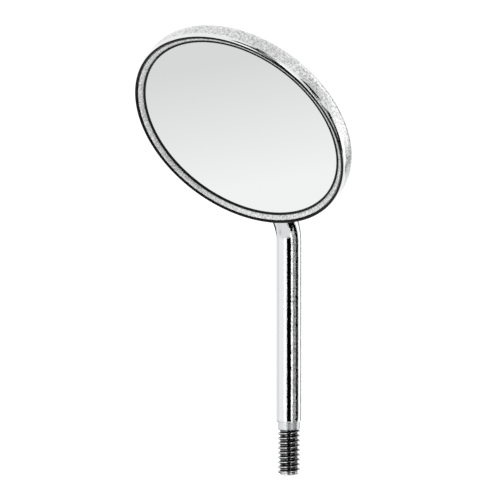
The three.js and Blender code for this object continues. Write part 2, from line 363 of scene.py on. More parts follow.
# %% Buffed steel rod
STAIN_SIZE = 1.2 * MM                # where the buffing wheel pressed a little more or less
WAVE_SIZE = 0.17 * MM                # the wheel's own faint waves
WAVE_DEPTH = 1.0e-5                  # metres
SHOULDER_EDGE = -0.05 * MM           # the buffing stops between the shoulder and here
NECK_ROUGHNESS, THREAD_ROUGHNESS = 0.42, 0.19
THREAD_BEGINS = (-0.6 * MM, -0.75 * MM)          # from these heights down
TIP_BEGINS = (-4.65 * MM, -4.8 * MM)
FLANK_UNSHADED, ROOT_DARK = 1.05 * MM, 0.96 * MM    # from the axis
SHADE_PATCH_SIZE = 0.35 * MM             # the patches of painted shade in the thread's roots


def buffed_stainless_rod():
    """Ground and buffed 304 bar: near mirror bright, with faint waves left by the buffing wheel.

    The wheel doesn't reach the stud. Its neck stays satin, its thread stays as it was cut, and the
    thread's roots are painted dark in patchy areas: painted shade, standing for the shade in the
    grooves.
    """
    made, tree, output = material("buffed_stainless_rod")
    place = add(tree, "ShaderNodeTexCoord").outputs["Object"]
    axes = add(tree, "ShaderNodeSeparateXYZ", {0: place})
    height = axes.outputs["Z"]
    plan = add(tree, "ShaderNodeCombineXYZ", {"X": axes.outputs["X"], "Y": axes.outputs["Y"]})
    reach = add(tree, "ShaderNodeVectorMath", {0: plan}, operation="LENGTH")
    waves = add(tree, "ShaderNodeTexNoise",
                {"Vector": place, "Scale": 1 / WAVE_SIZE, **NOISE, "Detail": 2.0})

    stains = add(tree, "ShaderNodeTexNoise", {"Vector": place, "Scale": 1 / STAIN_SIZE, **NOISE})
    buffed = add(tree, "ShaderNodeMapRange",
                 {"Value": stains, **NOISE_SPAN, "To Min": 0.03, "To Max": 0.07})
    unbuffed = add(tree, "ShaderNodeMapRange", {
        "Value": height, "From Min": THREAD_BEGINS[0], "From Max": THREAD_BEGINS[1],
        "To Min": NECK_ROUGHNESS, "To Max": THREAD_ROUGHNESS})
    on_stud = add(tree, "ShaderNodeMapRange",
                  {"Value": height, "From Min": 0.0, "From Max": SHOULDER_EDGE})
    roughness = add(tree, "ShaderNodeMix", {"Factor": on_stud, "A": buffed, "B": unbuffed})

    # painted shade: the thread's roots are coloured near black, in patchy areas, for the shade in
    # the grooves
    dark = add(tree, "ShaderNodeMapRange", {
        "Value": reach.outputs["Value"], "From Min": FLANK_UNSHADED, "From Max": ROOT_DARK})
    on_thread = add(tree, "ShaderNodeMapRange", {
        "Value": height, "From Min": THREAD_BEGINS[0], "From Max": THREAD_BEGINS[1]})
    off_tip = add(tree, "ShaderNodeMapRange", {
        "Value": height, "From Min": TIP_BEGINS[1], "From Max": TIP_BEGINS[0]})
    shade_noise = add(tree, "ShaderNodeTexNoise",
                  {"Vector": place, "Scale": 1 / SHADE_PATCH_SIZE, **NOISE})
    patches = add(tree, "ShaderNodeMapRange",
                  {"Value": shade_noise, **NOISE_SPAN, "To Min": 0.7, "To Max": 1.0})
    for limit in (on_thread, off_tip, patches):
        dark = add(tree, "ShaderNodeMath", {0: dark, 1: limit}, operation="MULTIPLY")
    colour = add(tree, "ShaderNodeMix", {
        "Factor": dark, "A": srgb("#C6C7C8"), "B": srgb("#0D0D0E")}, data_type="RGBA")
    metal(tree, output, colour.outputs["Result"], roughness, waves, WAVE_DEPTH)
    return made


finishes["rod"] = buffed_stainless_rod()
print("finish:", finishes["rod"].name)

# %% [markdown]
# The cup's finish depends on the height over the mirror's plane, so its object coordinates are first
# turned into the head's own frame. The tool marks run round the axis: they follow one number, the
# reach minus the height, which keeps changing all the way from the back over the corner to the edge.
#
# The grain of a real satin sheet is about a hundredth of a millimetre, and its tool marks are a few
# hundredths apart. Both are too fine to show. The specks are drawn about twenty times as coarse, and
# the marks about twice.

# %% Spun steel sheet
TOOL_MARKS = 0.09 * MM               # drawn coarser than they are, so that they show
SHEET_SPECKS = 0.2 * MM              # drawn coarser than they are, so that they show
SHEET_RELIEF = 5.0e-6                # metres
EDGE_LOW, EDGE_HIGH = -0.12 * MM, 0.0            # where satin wall turns to buffed edge
BACK_HIGH, BACK_LOW = -1.5 * MM, -1.9 * MM       # where speckled wall turns to plainer back
EDGE_ROUGHNESS = 0.09


def spun_stainless_sheet():
    """Spun 304 sheet: circular tool marks and a speckled grain, with a buffed front edge."""
    made, tree, output = material("spun_stainless_sheet")
    place = add(tree, "ShaderNodeTexCoord").outputs["Object"]
    inside = add(tree, "ShaderNodeMapping", {
        "Vector": place, "Location": head_centre, "Rotation": (math.pi + LEAN, 0, 0)},
        vector_type="TEXTURE")
    axes = add(tree, "ShaderNodeSeparateXYZ", {0: inside})
    height = axes.outputs["Y"]
    plan = add(tree, "ShaderNodeCombineXYZ", {"X": axes.outputs["X"], "Y": axes.outputs["Z"]})
    reach = add(tree, "ShaderNodeVectorMath", {0: plan}, operation="LENGTH")
    along = add(tree, "ShaderNodeMath", {0: reach.outputs["Value"], 1: height},
                operation="SUBTRACT")
    marks = add(tree, "ShaderNodeTexNoise", {
        "W": along, "Scale": 1 / TOOL_MARKS, "Detail": 1.0}, noise_dimensions="1D")
    specks = add(tree, "ShaderNodeTexNoise",
                 {"Vector": inside, "Scale": 1 / SHEET_SPECKS, **NOISE})
    relief = add(tree, "ShaderNodeMath", {0: marks, 1: specks}, operation="ADD")
    on_edge = add(tree, "ShaderNodeMapRange",
                  {"Value": height, "From Min": EDGE_LOW, "From Max": EDGE_HIGH})
    on_back = add(tree, "ShaderNodeMapRange",
                  {"Value": height, "From Min": BACK_HIGH, "From Max": BACK_LOW})

    satin = add(tree, "ShaderNodeMapRange",
                {"Value": specks, **NOISE_SPAN, "To Min": 0.24, "To Max": 0.40})
    roughness = add(tree, "ShaderNodeMix", {"Factor": on_edge, "A": satin, "B": EDGE_ROUGHNESS})
    pitted = add(tree, "ShaderNodeMapRange", {"Value": specks, **NOISE_SPAN})
    wall = add(tree, "ShaderNodeMix", {
        "Factor": pitted, "A": srgb("#8F9091"), "B": srgb("#EDEDED")}, data_type="RGBA")
    back_face = add(tree, "ShaderNodeMix", {
        "Factor": pitted, "A": srgb("#BDBEBF"), "B": srgb("#D0D1D1")}, data_type="RGBA")
    unbuffed = add(tree, "ShaderNodeMix", {
        "Factor": on_back, "A": wall.outputs["Result"], "B": back_face.outputs["Result"]},
        data_type="RGBA")
    colour = add(tree, "ShaderNodeMix", {
        "Factor": on_edge, "A": unbuffed.outputs["Result"], "B": srgb("#D6D7D8")},
        data_type="RGBA")
    metal(tree, output, colour.outputs["Result"], roughness, relief, SHEET_RELIEF)
    return made


finishes["sheet"] = spun_stainless_sheet()
print("finish:", finishes["sheet"].name)

# %% Satin steel ring
RING_SPECKS = 0.15 * MM              # drawn coarser than the real pits, so that they show
RING_RELIEF = 6e-6                   # metres


def satin_stainless_ring():
    """Turned 303 bar, vapour blasted: a pale, even satin peppered with fine specks."""
    made, tree, output = material("satin_stainless_ring")
    place = add(tree, "ShaderNodeTexCoord").outputs["Object"]
    specks = add(tree, "ShaderNodeTexNoise",
                 {"Vector": place, "Scale": 1 / RING_SPECKS, **NOISE, "Detail": 2.0})
    roughness = add(tree, "ShaderNodeMapRange",
                    {"Value": specks, **NOISE_SPAN, "To Min": 0.5, "To Max": 0.66})
    pitted = add(tree, "ShaderNodeMapRange", {"Value": specks, **NOISE_SPAN})
    colour = add(tree, "ShaderNodeMix", {
        "Factor": pitted, "A": srgb("#9B9C9D"), "B": srgb("#F6F6F6")}, data_type="RGBA")
    metal(tree, output, colour.outputs["Result"], roughness, specks, RING_RELIEF)
    return made


finishes["satin"] = satin_stainless_ring()
print("finish:", finishes["satin"].name)

# %% Silver solder
SOLDER_SKIN = 0.2 * MM               # the melted skin's own ripples
SOLDER_RELIEF = 9e-6                 # metres


def silver_solder():
    """Brazing alloy, cleaned but not buffed: duller and a little warmer than the steel."""
    made, tree, output = material("silver_solder")
    place = add(tree, "ShaderNodeTexCoord").outputs["Object"]
    skin = add(tree, "ShaderNodeTexNoise", {"Vector": place, "Scale": 1 / SOLDER_SKIN, **NOISE})
    roughness = add(tree, "ShaderNodeMapRange",
                    {"Value": skin, **NOISE_SPAN, "To Min": 0.22, "To Max": 0.42})
    metal(tree, output, srgb("#B9B5AC"), roughness, skin, SOLDER_RELIEF)
    return made


finishes["solder"] = silver_solder()
print("finish:", finishes["solder"].name)

# %% [markdown]
# The mirror's front is a vacuum-coated rhodium film. It is on the front of the glass, so there is no
# second, ghost image from the glass above it. It is almost perfectly smooth; only a trace of haze
# from cleaning is left on it. Behind it is clear float glass, which stays hidden.

# %% Mirror film and glass
HAZE_SIZE = 3.0 * MM                 # a cleaning cloth's smears
GLASS_GRIT = 0.05 * MM               # the pits that the grinding left


def rhodium_film():
    """A front-surface coating: a neutral, very smooth reflector with a trace of cleaning haze."""
    made, tree, output = material("rhodium_film")
    place = add(tree, "ShaderNodeTexCoord").outputs["Object"]
    haze = add(tree, "ShaderNodeTexNoise", {"Vector": place, "Scale": 1 / HAZE_SIZE, **NOISE})
    roughness = add(tree, "ShaderNodeMapRange",
                    {"Value": haze, **NOISE_SPAN, "To Min": 0.004, "To Max": 0.02})
    shader = add(tree, "ShaderNodeBsdfPrincipled", {
        "Base Color": srgb("#E3E4E4"), "Metallic": 1.0, "Roughness": roughness})
    tree.links.new(shader.outputs[0], output.inputs["Surface"])
    return made


def float_glass():
    """Clear soda-lime float glass with its slight green, ground matt on its edge and back."""
    made, tree, output = material("float_glass")
    place = add(tree, "ShaderNodeTexCoord").outputs["Object"]
    ground = add(tree, "ShaderNodeTexNoise", {"Vector": place, "Scale": 1 / GLASS_GRIT, **NOISE})
    roughness = add(tree, "ShaderNodeMapRange",
                    {"Value": ground, **NOISE_SPAN, "To Min": 0.02, "To Max": 0.12})
    shader = add(tree, "ShaderNodeBsdfPrincipled", {
        "Base Color": srgb("#DDEBE4"), "IOR": 1.52, "Transmission Weight": 1.0,
        "Roughness": roughness})
    tree.links.new(shader.outputs[0], output.inputs["Surface"])
    return made


finishes["film"] = rhodium_film()
finishes["glass"] = float_glass()
print("finishes:", finishes["film"].name, "and", finishes["glass"].name)

# %% [markdown]
# Two things here are not metal or glass: the black lacquer that seals the ring, and the grey cement
# that beds the glass. The lacquer's black is partly a dark joint and partly painted shade, the shade
# in the gaps round the mirror and the ring. Both are matt and slightly uneven. The lacquer gets a
# low specular level as well, because a line this thin would turn grey if it reflected the white
# tent.

# %% Sealing lacquer and cement
GLOSS_SPREAD = 0.06                  # how far the roughness strays to each side


def speckled(name, dark, light, size, roughness, relief, specular=0.5):
    """A non-metal whose colour, roughness and height all follow one grain."""
    made, tree, output = material(name)
    place = add(tree, "ShaderNodeTexCoord").outputs["Object"]
    specks = add(tree, "ShaderNodeTexNoise", {"Vector": place, "Scale": 1 / size, **NOISE})
    colour = add(tree, "ShaderNodeMix", {
        "Factor": specks, "A": srgb(dark), "B": srgb(light)}, data_type="RGBA")
    bump = add(tree, "ShaderNodeBump", {"Height": specks, "Distance": relief, "Strength": 1.0})
    gloss = add(tree, "ShaderNodeMapRange", {
        "Value": specks, **NOISE_SPAN,
        "To Min": roughness - GLOSS_SPREAD, "To Max": roughness + GLOSS_SPREAD})
    shader = add(tree, "ShaderNodeBsdfPrincipled", {
        "Base Color": colour.outputs["Result"], "Roughness": gloss,
        "Specular IOR Level": specular, "Normal": bump.outputs["Normal"]})
    tree.links.new(shader.outputs[0], output.inputs["Surface"])
    return made


# painted shade: the near-black lacquer of both beads is partly a dark joint and partly the shade in
# the gaps
finishes["seal"] = speckled(
    "black_lacquer_and_painted_shade", "#040404", "#0E0E0F", size=0.1 * MM, roughness=0.5, relief=2e-6,
    specular=0.12)
finishes["cement"] = speckled(
    "zinc_cement", "#7F817E", "#A3A5A1", size=0.2 * MM, roughness=0.75, relief=8e-6)
print("finishes:", finishes["seal"].name, "and", finishes["cement"].name)

# %% [markdown]
# ## From points to a finished piece
#
# Each piece ends up as a plain mesh whose object sits at the origin. Three short steps do that:
# put the mesh in the head's frame if it was drawn there, clean and close it with its faces pointing
# out, and shade it smooth between its real edges.

# %% Helpers for pieces
EDGE = math.radians(32)              # a fold sharper than this is a real edge
SAME_POINT = 1e-7                    # points closer than this, in metres, are one
NO_LENGTH = 1e-8                     # an edge shorter than this is dissolved


def closed(mesh):
    """Merges doubled points and turns every face outwards. Returns how many edges are open."""
    work = bmesh.new()
    work.from_mesh(mesh)
    bmesh.ops.remove_doubles(work, verts=work.verts, dist=SAME_POINT)
    bmesh.ops.dissolve_degenerate(work, edges=work.edges, dist=NO_LENGTH)
    bmesh.ops.recalc_face_normals(work, faces=work.faces)
    if work.calc_volume(signed=True) < 0:
        bmesh.ops.reverse_faces(work, faces=work.faces)
    open_edges = sum(1 for edge in work.edges if len(edge.link_faces) != 2)
    work.to_mesh(mesh)
    work.free()
    return open_edges


def make_piece(name, mesh, finish, nodes, in_head=False):
    """Finishes a mesh as a piece of the object that stands for some CAD nodes.

    With in_head, the mesh was drawn in the head's own frame.
    """
    if in_head:
        mesh.transform(head_place)
    open_edges = closed(mesh)
    mesh.shade_smooth()
    mesh.set_sharp_from_angle(angle=EDGE)
    mesh.materials.clear()
    mesh.materials.append(finishes[finish])
    piece = bpy.data.objects.new(name, mesh)
    bpy.context.scene.collection.objects.link(piece)
    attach(piece, "root")
    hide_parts(*nodes)
    print(f"{name}: {len(mesh.polygons)} faces, {open_edges} open edges")


def arc(centre, radius, start, end, steps):
    """Points of an arc in a section, as (radius, height), from one angle to another in degrees."""
    angles = [math.radians(start + (end - start) * i / steps) for i in range(steps + 1)]
    return [(centre[0] + radius * math.cos(a), centre[1] + radius * math.sin(a)) for a in angles]


# %% [markdown]
# ## Turned pieces
#
# The cup, the ring and the seals are round about the mirror's axis. Blender's Screw modifier or the
# Spin tool would do, but a section swept one ring at a time keeps every ring of points where the
# section says, and a section that touches the axis closes in a single point there.

# %% Sweep a section round the head's axis
RING_STEPS = 240


def turned(name, section, loop):
    """A mesh turned about the head's Y from (radius, height) points; `loop` closes the section."""
    count = len(section)
    points, faces = [], []
    for i in range(RING_STEPS):
        turn = 2 * math.pi * i / RING_STEPS
        points += [(r * math.sin(turn), h, r * math.cos(turn)) for r, h in section]
    for i in range(RING_STEPS):
        here, there = i * count, (i + 1) % RING_STEPS * count
        for j in range(count if loop else count - 1):
            k = (j + 1) % count
            faces.append((here + j, here + k, there + k, there + j))
    mesh = bpy.data.meshes.new(name)
    mesh.from_pydata(points, [], faces)
    return mesh


print("ring steps:", RING_STEPS)

# %% [markdown]
# ## Back cup
#
# The cup is a shallow pan pressed from sheet and then spun smooth. Its round corner leads up into
# the side wall, and the wall's front edge is rounded over, so that nothing sharp can touch a
# patient's cheek. That edge catches the light, so it gets the most points.

# %% Back cup
CUP_WALL = 0.28 * MM
CUP_EDGE_HEIGHT = 0.335 * MM
CUP_DEPTH = 1.95 * MM
CORNER_RADIUS = 1.0 * MM
INNER_CORNER = 0.5 * MM
EDGE_FALL = 0.43 * MM                # the front edge's outside falls this far before it is upright
EDGE_POINTS = 16
CORNER_POINTS, INNER_CORNER_POINTS = 20, 8

corner_start = head_radius - CORNER_RADIUS
back_height = -CUP_DEPTH
corner_height = back_height + CORNER_RADIUS
wall_inner = head_radius - CUP_WALL
edge_radius = CUP_WALL / 2


def edge_curve():
    """The front edge: round on its inside, and falling away more slowly to the side wall."""
    middle = head_radius - edge_radius
    outside = [(middle + edge_radius * math.cos(a), CUP_EDGE_HEIGHT - EDGE_FALL * (1 - math.sin(a)))
               for a in (math.pi / 2 * i / EDGE_POINTS for i in range(EDGE_POINTS))]
    return outside + arc((middle, CUP_EDGE_HEIGHT - edge_radius), edge_radius, 90, 180,
                         EDGE_POINTS)


def back_cup():
    """The cup's section, from the middle of its back out, over the edge, and in along its floor."""
    floor_height = back_height + CUP_WALL
    section = [(0, back_height), (corner_start / 2, back_height)]
    section += arc((corner_start, corner_height), CORNER_RADIUS, -90, 0, CORNER_POINTS)
    section += edge_curve()
    section += arc((wall_inner - INNER_CORNER, floor_height + INNER_CORNER), INNER_CORNER,
                   0, -90, INNER_CORNER_POINTS)
    section += [(corner_start / 2, floor_height), (0, floor_height)]
    return turned("pressed_cup", section, loop=False)


make_piece("pressed_cup", back_cup(), "sheet", ["back_cup"], in_head=True)

# %% [markdown]
# ## Retaining ring
#
# A turned ring sits inside the cup's edge and holds the mirror down. Its face rises gently from the
# glass to the cup, with a slight crown, and is left satin, so that it doesn't throw light back off
# the mirror's edge. Its foot reaches under the outer sealing line.

# %% Retaining ring
RING_INNER = 10.19 * MM
RING_OUTER = 10.58 * MM
RING_INNER_HEIGHT = 0.01 * MM
RING_OUTER_HEIGHT = 0.27 * MM
RING_BOTTOM = -0.03 * MM
RING_CROWN = 0.03 * MM
RING_FOOT = 0.09 * MM
GROOVE_HEIGHT = 0.13 * MM
FACE_STEPS = 10


def retaining_ring():
    """The ring's section: its foot, the step beside the groove, and its sloping face."""
    section = [(RING_INNER, RING_BOTTOM), (RING_OUTER + RING_FOOT, RING_BOTTOM),
               (RING_OUTER + RING_FOOT, GROOVE_HEIGHT), (RING_OUTER, GROOVE_HEIGHT)]
    for i in range(FACE_STEPS + 1):
        share = i / FACE_STEPS
        rise = RING_OUTER_HEIGHT + (RING_INNER_HEIGHT - RING_OUTER_HEIGHT) * share
        section.append((RING_OUTER + (RING_INNER - RING_OUTER) * share,
                        rise + RING_CROWN * math.sin(math.pi * share)))
    return turned("satin_ring", section, loop=True)


make_piece("satin_ring", retaining_ring(), "satin", ["retaining_ring"],
           in_head=True)

# %% [markdown]
# ## Black sealing lines
#
# Two fine beads of black lacquer keep fluid out of the head. The inner one closes the gap between
# the ring and the mirror, and frames the glass. The outer one fills the groove between the ring and
# the cup, and stands a little proud of it. Their black is partly a dark joint and partly painted
# shade, the shade that falls in these gaps. A bead looks equally thick from every side, which a
# flush line wouldn't, because the near side of the head is seen at a much flatter angle.

# %% Seals
MIRROR_TOP = -0.05 * MM
OVER_MIRROR = 0.005 * MM             # the inner bead's gap to the film
BEAD_STEPS = 18
INNER_BEAD = {"reach": 10.09 * MM, "height": 0.0, "half_width": 0.09 * MM,
              "foot": MIRROR_TOP + OVER_MIRROR}
OUTER_BEAD = {"reach": 10.785 * MM, "height": 0.26 * MM, "half_width": 0.125 * MM,
              "foot": GROOVE_HEIGHT}


def bead(name, reach, height, half_width, foot):
    """A turned bead: a round section at a reach from the axis, which ends flat on `foot`."""
    low = math.degrees(math.asin(max(-1.0, (foot - height) / half_width)))
    section = arc((reach, height), half_width, low, 180 - low, BEAD_STEPS)
    return turned(name, section, loop=True)


make_piece("inner_line", bead("inner_line", **INNER_BEAD), "seal", ["inner_seal"],
           in_head=True)
make_piece("outer_line", bead("outer_line", **OUTER_BEAD), "seal", ["outer_seal"],
           in_head=True)

# %% [markdown]
# ## Stem
#
# The stem is one rod. It rises from the shoulder, bends through the mirror's lean, and its end is
# ground flat and rounded off to a tongue that lies against the cup. It is drawn as rings of points
# along its centre line. A ring's points that would be inside the head are lowered onto the head's
# surface, which gives the flat, and the notch that fits round the head's edge.

# %% The rod
ROD_SIDES = 72
FLAT_SIDES = 24                      # how many of those lie over the ground flat
TONGUE_REACH = 5.9 * MM
NOSE_LENGTH = 2.25 * MM
SHOULDER_ROUND = 0.12 * MM

bend_tangent = BEND_RADIUS * math.tan(LEAN / 2)
straight = CORNER_HEIGHT - bend_tangent
nose_start = head_radius - TONGUE_REACH + NOSE_LENGTH
flat_depth = STEM_DEPTH + back_height - CLEARANCE      # the ground flat's height over the rod's axis
flat_angle = math.acos(flat_depth / stem_radius)


def head_skin(reach):
    """Height of the head's underside over a distance from its axis, or None outside the head."""
    if reach > head_radius + CLEARANCE:
        return None
    if reach < corner_start:
        return back_height - CLEARANCE
    radius = CORNER_RADIUS + CLEARANCE
    return corner_height - math.sqrt(max(0.0, radius ** 2 - (reach - corner_start) ** 2))


def rod_ring(centre, lean, radius):
    """One ring of the rod, lowered onto the head where it would run into it."""
    side = Vector((1, 0, 0))
    out = Vector((0, -math.cos(lean), -math.sin(lean)))
    round_sides = ROD_SIDES - FLAT_SIDES
    top = [flat_angle * (2 * i / FLAT_SIDES - 1) for i in range(FLAT_SIDES + 1)]
    rest = [flat_angle + (2 * math.pi - 2 * flat_angle) * i / round_sides
            for i in range(1, round_sides)]
    ring = []
    for angle in top + rest:
        point = centre + radius * (math.cos(angle) * out + math.sin(angle) * side)
        local = head_place.inverted() @ point
        skin = head_skin(math.hypot(local.x, local.z))
        if skin is not None and lean > 0:
            local.y = min(local.y, skin)
            point = head_place @ local
        ring.append(point)
    return ring


print("ground flat, half its angle:", round(math.degrees(flat_angle), 1), "degrees")

# %% The rod's rings, from the shoulder to the nose
SHOULDER_STEPS, STRAIGHT_STEPS, BEND_STEPS = 4, 24, 20
NOTCH_STEP, NOTCH_STEPS = 0.01 * MM, 8           # close rings where the rod dives under the cup
APPROACH_STEPS, CORNER_STEPS, TONGUE_STEPS, NOSE_STEPS = 4, 14, 8, 16
NOSE_TIP = 0.01 * MM                 # what is left of the nose's height at its tip


def upright_rings():
    """The shoulder's rounded corner, and the straight run above it."""
    rings = []
    for i in range(SHOULDER_STEPS + 1):
        turn = math.pi / 2 * i / SHOULDER_STEPS
        inset = SHOULDER_ROUND * (1 - math.sin(turn))
        height = SHOULDER_ROUND * (1 - math.cos(turn))
        rings.append(rod_ring(Vector((0, 0, height)), 0, stem_radius - inset))
    for i in range(1, STRAIGHT_STEPS + 1):
        rings.append(rod_ring(Vector((0, 0, straight * i / STRAIGHT_STEPS)), 0, stem_radius))
    return rings


def bend_rings():
    """The bend, which turns the rod through the mirror's lean."""
    rings = []
    for i in range(1, BEND_STEPS + 1):
        turn = LEAN * i / BEND_STEPS
        centre = Vector((0, -BEND_RADIUS * (1 - math.cos(turn)),
                         straight + BEND_RADIUS * math.sin(turn)))
        rings.append(rod_ring(centre, turn, stem_radius))
    return rings


def leaning_rings():
    """The run past the cup's edge and along its back, by its reach from the head's axis."""
    outside = head_radius + CORNER_OUTSIDE - bend_tangent
    edge = head_radius + CLEARANCE
    notch_end = edge - NOTCH_STEP * NOTCH_STEPS
    stops = [outside + (edge + NOTCH_STEP - outside) * i / APPROACH_STEPS
             for i in range(1, APPROACH_STEPS + 1)]
    stops += [edge - NOTCH_STEP * i for i in range(NOTCH_STEPS + 1)]
    stops += [notch_end + (corner_start - notch_end) * i / CORNER_STEPS
              for i in range(1, CORNER_STEPS + 1)]
    stops += [corner_start + (nose_start - corner_start) * i / TONGUE_STEPS
              for i in range(1, TONGUE_STEPS + 1)]
    return [rod_ring(head_place @ Vector((0, -STEM_DEPTH, reach)), LEAN, stem_radius)
            for reach in stops]


def nose_rings():
    """The tongue's end, which narrows in a quarter of an ellipse."""
    rings = []
    last = math.acos((NOSE_TIP - flat_depth) / stem_radius)
    for i in range(1, NOSE_STEPS + 1):
        turn = last * i / NOSE_STEPS
        centre = head_place @ Vector((0, -STEM_DEPTH, nose_start - NOSE_LENGTH * math.sin(turn)))
        rings.append(rod_ring(centre, LEAN, stem_radius * math.cos(turn)))
    return rings


def rod_mesh():
    """The rings joined side by side, with a flat face on each end."""
    rings = upright_rings() + bend_rings() + leaning_rings() + nose_rings()
    count = len(rings[0])
    points = [point for ring in rings for point in ring]
    faces = [(i * count + j, i * count + (j + 1) % count,
              (i + 1) * count + (j + 1) % count, (i + 1) * count + j)
             for i in range(len(rings) - 1) for j in range(count)]
    faces.append(tuple(range(count)))
    faces.append(tuple(range(len(points) - count, len(points))))
    mesh = bpy.data.meshes.new("rod")
    mesh.from_pydata(points, [], faces)
    return mesh


rod = rod_mesh()
print("rod:", len(rod.vertices), "points")

# %% [markdown]
# ## Thread
#
# A screw thread is the same section repeated along a helix, which is just what Geometry Nodes are
# good at. A flat grid is rolled up: one direction goes once round the stud, the other climbs. Every
# point rises by one pitch in a full turn, so the grid's left edge meets its right edge one thread
# higher, and the rows follow the helix exactly.
#
# The section repeats every 24 rows: 3 of flat crest, 8 down one 60 degree flank, 5 of root and 8 up
# the other flank. The tip's chamfer and the plain neck are limits on the same radius.

# %% The thread's section and helix
MATH = "ShaderNodeMath"
ROWS_PER_PITCH = 24
CREST_ROWS, FLANK_ROWS = 3, 8
ROW_NUDGE = 0.001                    # keeps a whole row number from rounding down
SPARE_PITCHES = 2                    # rows that start below the tip, and are cut off there


def thread_section(tree, given, row):
    """The plain thread's radius at a row: down one flank and up the other."""
    nudged = add(tree, MATH, {0: row, 1: ROW_NUDGE}, operation="ADD")
    phase = add(tree, MATH, {0: nudged, 1: ROWS_PER_PITCH}, operation="MODULO")
    down = add(tree, "ShaderNodeMapRange", {
        "Value": phase, "From Min": CREST_ROWS, "From Max": CREST_ROWS + FLANK_ROWS})
    up = add(tree, "ShaderNodeMapRange", {
        "Value": phase, "From Min": ROWS_PER_PITCH - FLANK_ROWS, "From Max": ROWS_PER_PITCH})
    share = add(tree, MATH, {0: down, 1: up}, operation="SUBTRACT")
    depth = add(tree, MATH, {0: given["Crest Radius"], 1: given["Core Radius"]},
                operation="SUBTRACT")
    cut = add(tree, MATH, {0: share, 1: depth}, operation="MULTIPLY")
    return add(tree, MATH, {0: given["Crest Radius"], 1: cut}, operation="SUBTRACT")


def helix_height(tree, given, row, round_part):
    """The height of a point that climbs one pitch in every turn."""
    pitches = add(tree, MATH, {0: row, 1: ROWS_PER_PITCH}, operation="DIVIDE")
    turns = add(tree, MATH, {0: pitches, 1: round_part}, operation="ADD")
    climbed = add(tree, MATH, {0: turns, 1: given["Pitch"]}, operation="MULTIPLY")
    spare = add(tree, MATH, {0: given["Pitch"], 1: SPARE_PITCHES}, operation="MULTIPLY")
    start = add(tree, MATH, {0: given["Bottom"], 1: spare}, operation="SUBTRACT")
    return add(tree, MATH, {0: climbed, 1: start}, operation="ADD")


print("rows in a pitch:", ROWS_PER_PITCH)

# %% The limits on the thread's radius
CHAMFER_EXCESS = 0.05 * MM           # the tip's chamfer aims this far past the crest
NECK_BLEND = 0.06 * MM               # height over which the thread runs into the neck


def limited_radius(tree, given, threaded, height):
    """The thread's radius, limited by the tip's chamfer and the plain neck."""
    over_bottom = add(tree, MATH, {0: height, 1: given["Bottom"]}, operation="SUBTRACT")
    over_tip = add(tree, MATH, {0: over_bottom, 1: given["Tip Chamfer"]}, operation="DIVIDE")
    widest = add(tree, MATH, {0: given["Crest Radius"], 1: CHAMFER_EXCESS}, operation="ADD")
    gain = add(tree, MATH, {0: widest, 1: given["Tip Radius"]}, operation="SUBTRACT")
    chamfer = add(tree, MATH, {0: over_tip, 1: gain}, operation="MULTIPLY")
    at_tip = add(tree, MATH, {0: given["Tip Radius"], 1: chamfer}, operation="ADD")
    limited = add(tree, MATH, {0: threaded, 1: at_tip}, operation="MINIMUM")
    blend_start = add(tree, MATH, {0: given["Neck Bottom"], 1: NECK_BLEND}, operation="SUBTRACT")
    into_neck = add(tree, "ShaderNodeMapRange", {
        "Value": height, "From Min": blend_start, "From Max": given["Neck Bottom"]},
        interpolation_type="SMOOTHSTEP")
    return add(tree, "ShaderNodeMix",
               {"Factor": into_neck, "A": limited, "B": given["Neck Radius"]})


def closed_ends(tree, given, radius, raw):
    """The radius, brought to nothing in the rows past both ends, so that they close there."""
    row_height = add(tree, MATH, {0: given["Pitch"], 1: ROWS_PER_PITCH}, operation="DIVIDE")
    low = add(tree, MATH, {0: given["Bottom"], 1: row_height}, operation="SUBTRACT")
    high = add(tree, MATH, {0: given["Top"], 1: row_height}, operation="ADD")
    above_low = add(tree, MATH, {0: raw, 1: low}, operation="GREATER_THAN")
    below_high = add(tree, MATH, {0: raw, 1: high}, operation="LESS_THAN")
    between_ends = add(tree, MATH, {0: above_low, 1: below_high}, operation="MULTIPLY")
    return add(tree, MATH, {0: radius, 1: between_ends}, operation="MULTIPLY")


print("neck blend (mm):", NECK_BLEND / MM)

# %% The thread's node tree
THREAD_SIZES = ("Pitch", "Crest Radius", "Core Radius", "Neck Radius", "Neck Bottom", "Tip Radius",
                "Tip Chamfer", "Bottom", "Top")


